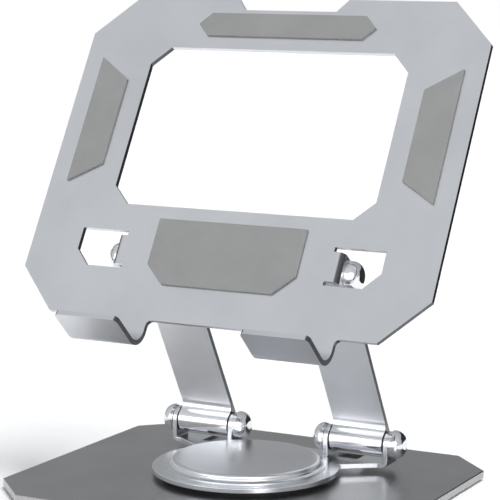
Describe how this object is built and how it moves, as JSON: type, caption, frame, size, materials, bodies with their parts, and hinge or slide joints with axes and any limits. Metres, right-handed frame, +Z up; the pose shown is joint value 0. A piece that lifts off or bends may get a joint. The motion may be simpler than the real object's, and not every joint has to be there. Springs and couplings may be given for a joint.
{
  "type": "tablet stand",
  "caption": "Folding desk stand for a tablet: a leaning plate with hooks on hinged arms over a round turntable and a flat base.",
  "frame": {"origin": "on the surface the stand rests on, under the centre of the turntable", "axes": "+X to the user's right, +Y to the back, +Z up"},
  "size_m": [0.216, 0.17, 0.2336],
  "materials": {
    "base_grey": "dark grey satin anodised",
    "dark_silicone": "matt",
    "steel": "plated",
    "black_nylon": "matt",
    "grey_silicone": "matt",
    "chrome": "polished",
    "satin_aluminium": "fine satin, silver"
  },
  "bodies": {
    "base": {"base_plate": "base_grey", "base_mat": "dark_silicone", "pivot_stud": "steel", "pivot_washer": "steel", "pivot_nut": "steel", "glide_ring": "black_nylon"},
    "turntable": {"swivel_plate": "satin_aluminium", "turntable_cap": "satin_aluminium", "lower_left_hinge_bolt": "chrome", "lower_left_hinge_friction_washers": "black_nylon", "lower_left_hinge_nut": "chrome", "lower_left_hinge_washers": "chrome", "lower_right_hinge_bolt": "chrome", "lower_right_hinge_friction_washers": "black_nylon", "lower_right_hinge_nut": "chrome", "lower_right_hinge_washers": "chrome"},
    "arms": {"arm_left": "satin_aluminium", "arm_right": "satin_aluminium"},
    "upper_pins": {"upper_left_hinge_bolt": "chrome", "upper_left_hinge_friction_washers": "black_nylon", "upper_left_hinge_nut": "chrome", "upper_left_hinge_washers": "chrome", "upper_right_hinge_bolt": "chrome", "upper_right_hinge_friction_washers": "black_nylon", "upper_right_hinge_nut": "chrome", "upper_right_hinge_washers": "chrome"},
    "cradle": {"tablet_plate": "satin_aluminium", "pad_bottom": "grey_silicone", "pad_left": "grey_silicone", "pad_right": "grey_silicone", "pad_top": "grey_silicone"}
  },
  "joints": [
    {"name": "turntable_spin", "type": "hinge", "parent": "base", "child": "turntable", "pos_m": [0, 0, 0.0074], "axis": [0, 0, 1], "continuous": true},
    {"name": "arm_fold", "type": "hinge", "parent": "turntable", "child": "arms", "pos_m": [0, 0.0391, 0.0186], "axis": [1, 0, 0], "range_deg": [-30, 59.5]},
    {"name": "cradle_fold", "type": "hinge", "parent": "arms", "child": "upper_pins", "pos_m": [0, -0.01336, 0.10909], "axis": [1, 0, 0], "range_deg": [-103.7, 52.4]},
    {"name": "cradle_tilt", "type": "hinge", "parent": "upper_pins", "child": "cradle", "pos_m": [0, -0.01336, 0.10909], "axis": [1, 0, 0], "range_deg": [-15, 15]}
  ],
  "couplings": [
    {"joint": "cradle_fold", "follows": "arm_fold", "ratio": -1.741}
  ]
}
